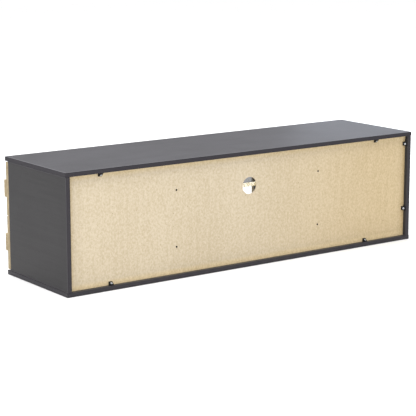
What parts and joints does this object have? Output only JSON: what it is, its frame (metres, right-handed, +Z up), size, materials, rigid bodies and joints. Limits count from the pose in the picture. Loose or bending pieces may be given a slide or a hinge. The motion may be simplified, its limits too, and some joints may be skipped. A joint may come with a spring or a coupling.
{
  "type": "television stand",
  "caption": "Low wide television stand with an open middle bay and shelf, stacked drawers with raised bars at each end, and a recessed hardboard back with a cable hole.",
  "frame": {"origin": "middle of the underside, on the surface it stands on", "axes": "+X along the length to the right as seen from the front, +Y to the back, +Z up; the drawers open towards -Y"},
  "size_m": [1.5, 0.414, 0.41],
  "materials": {
    "graphite": "fine-grained matt graphite laminate on chipboard",
    "light_oak": "light oak effect laminate, matt, with a fine grain",
    "hardboard": "plain matt hardboard with a fine fibrous mottle",
    "drawer_foil": "plain grey foil on chipboard",
    "runner_plastic": "smooth off-white plastic",
    "black_plastic": "moulded black plastic",
    "zinc": "bright zinc-plated steel",
    "nail_steel": "dull dark steel"
  },
  "bodies": {
    "carcass": {"back_clip_bottom_left": "black_plastic", "back_clip_bottom_right": "black_plastic", "back_clip_left_lower": "black_plastic", "back_clip_left_upper": "black_plastic", "back_clip_top_left": "black_plastic", "back_clip_top_right": "black_plastic", "back_nail_left_lower": "nail_steel", "back_nail_left_upper": "nail_steel", "back_nail_right_lower": "nail_steel", "back_nail_right_upper": "nail_steel", "back_panel": "hardboard", "bottom_panel": "graphite", "divider_left": "graphite", "divider_right": "graphite", "middle_shelf": "graphite", "runner_lower_left_left": "runner_plastic", "runner_lower_left_right": "runner_plastic", "runner_lower_right_left": "runner_plastic", "runner_lower_right_right": "runner_plastic", "runner_upper_left_left": "runner_plastic", "runner_upper_left_right": "runner_plastic", "runner_upper_right_left": "runner_plastic", "runner_upper_right_right": "runner_plastic", "shelf_pin_left_front": "zinc", "shelf_pin_left_rear": "zinc", "shelf_pin_right_front": "zinc", "shelf_pin_right_rear": "zinc", "side_panel_left": "graphite", "side_panel_right": "graphite", "top_panel": "graphite"},
    "drawer_lower_left": {"drawer_lower_left_back": "drawer_foil", "drawer_lower_left_bar": "light_oak", "drawer_lower_left_bottom": "hardboard", "drawer_lower_left_front": "light_oak", "drawer_lower_left_side_left": "drawer_foil", "drawer_lower_left_side_right": "drawer_foil"},
    "drawer_upper_left": {"drawer_upper_left_back": "drawer_foil", "drawer_upper_left_bar": "light_oak", "drawer_upper_left_bottom": "hardboard", "drawer_upper_left_front": "light_oak", "drawer_upper_left_side_left": "drawer_foil", "drawer_upper_left_side_right": "drawer_foil"},
    "drawer_lower_right": {"drawer_lower_right_back": "drawer_foil", "drawer_lower_right_bar": "light_oak", "drawer_lower_right_bottom": "hardboard", "drawer_lower_right_front": "light_oak", "drawer_lower_right_side_left": "drawer_foil", "drawer_lower_right_side_right": "drawer_foil"},
    "drawer_upper_right": {"drawer_upper_right_back": "drawer_foil", "drawer_upper_right_bar": "light_oak", "drawer_upper_right_bottom": "hardboard", "drawer_upper_right_front": "light_oak", "drawer_upper_right_side_left": "drawer_foil", "drawer_upper_right_side_right": "drawer_foil"}
  },
  "joints": [
    {"name": "lower_left_slide", "type": "slide", "parent": "carcass", "child": "drawer_lower_left", "axis": [0, -1, 0], "range_m": [0, 0.25]},
    {"name": "upper_left_slide", "type": "slide", "parent": "carcass", "child": "drawer_upper_left", "axis": [0, -1, 0], "range_m": [0, 0.25]},
    {"name": "lower_right_slide", "type": "slide", "parent": "carcass", "child": "drawer_lower_right", "axis": [0, -1, 0], "range_m": [0, 0.25]},
    {"name": "upper_right_slide", "type": "slide", "parent": "carcass", "child": "drawer_upper_right", "axis": [0, -1, 0], "range_m": [0, 0.25]}
  ]
}
